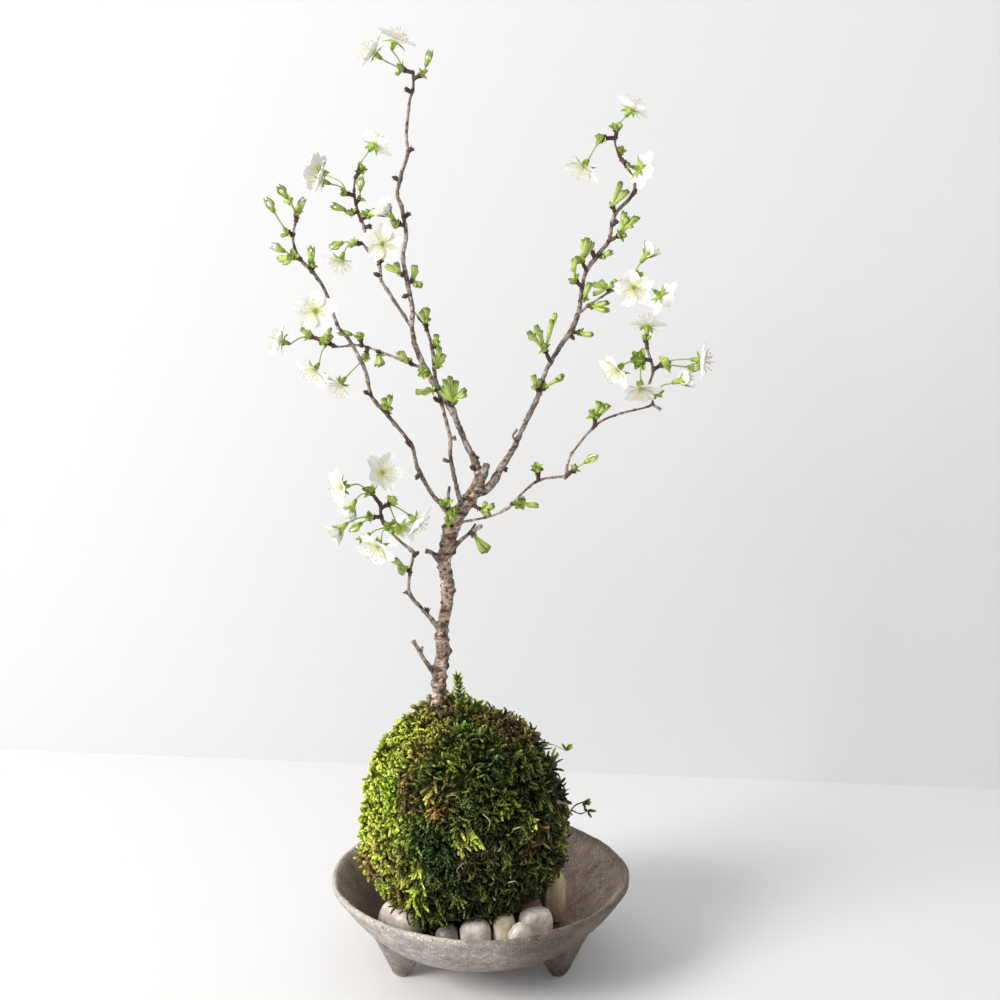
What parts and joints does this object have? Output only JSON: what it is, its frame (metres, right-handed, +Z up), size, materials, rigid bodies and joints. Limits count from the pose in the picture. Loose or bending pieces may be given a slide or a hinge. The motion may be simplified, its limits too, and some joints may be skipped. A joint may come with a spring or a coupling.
{
  "type": "kokedama moss ball plant",
  "caption": "Small flowering cherry tree that grows from a moss-covered ball of soil, set in a footed stoneware dish with pebbles.",
  "frame": {"origin": "on the surface that the dish stands on, under the middle of the whole plant's box", "axes": "+Z up along the trunk, +X to the viewer's right and -Y towards the viewer of the picture"},
  "size_m": [0.2192, 0.16, 0.4846],
  "materials": {
    "stoneware": "matte",
    "soil": "matte",
    "moss": "matte",
    "bark": "matte",
    "green": "satin",
    "petal": "satin",
    "pebble_white": "satin",
    "pebble_cream": "satin",
    "pebble_grey": "satin",
    "pebble_pink": "satin",
    "pebble_brown": "satin"
  },
  "bodies": {
    "root": {"dish": "stoneware", "soil_ball": "soil", "moss_ball": "moss", "tree": "bark", "spray_01": "green", "spray_02": "green", "spray_03": "green", "spray_04": "green", "spray_05": "green", "spray_06": "green", "spray_07": "green", "spray_08": "green", "spray_09": "green", "spray_10": "green", "spray_11": "green", "spray_12": "green", "spray_13": "green", "spray_14": "green", "spray_15": "green", "spray_16": "green", "spray_17": "green", "spray_18": "green", "spray_19": "green", "spray_20": "green", "bloom_01": "petal", "bloom_02": "petal", "bloom_03": "petal", "bloom_04": "petal", "bloom_05": "petal", "bloom_06": "petal", "bloom_07": "petal", "bloom_08": "petal", "bloom_09": "petal", "bloom_10": "petal", "bloom_11": "petal", "bloom_12": "petal", "bloom_13": "petal", "bloom_14": "petal", "bloom_15": "petal", "bloom_16": "petal", "bloom_17": "petal", "bloom_18": "petal", "bloom_19": "petal", "bloom_20": "petal", "bloom_21": "petal", "bloom_22": "petal", "bloom_23": "petal", "bloom_24": "petal", "bloom_25": "petal", "pebble_01": "pebble_pink", "pebble_02": "pebble_grey", "pebble_03": "pebble_white", "pebble_04": "pebble_cream", "pebble_05": "pebble_white", "pebble_06": "pebble_white", "pebble_07": "pebble_cream", "pebble_08": "pebble_brown", "pebble_09": "pebble_white", "pebble_10": "pebble_pink", "pebble_11": "pebble_grey"}
  },
  "joints": []
}
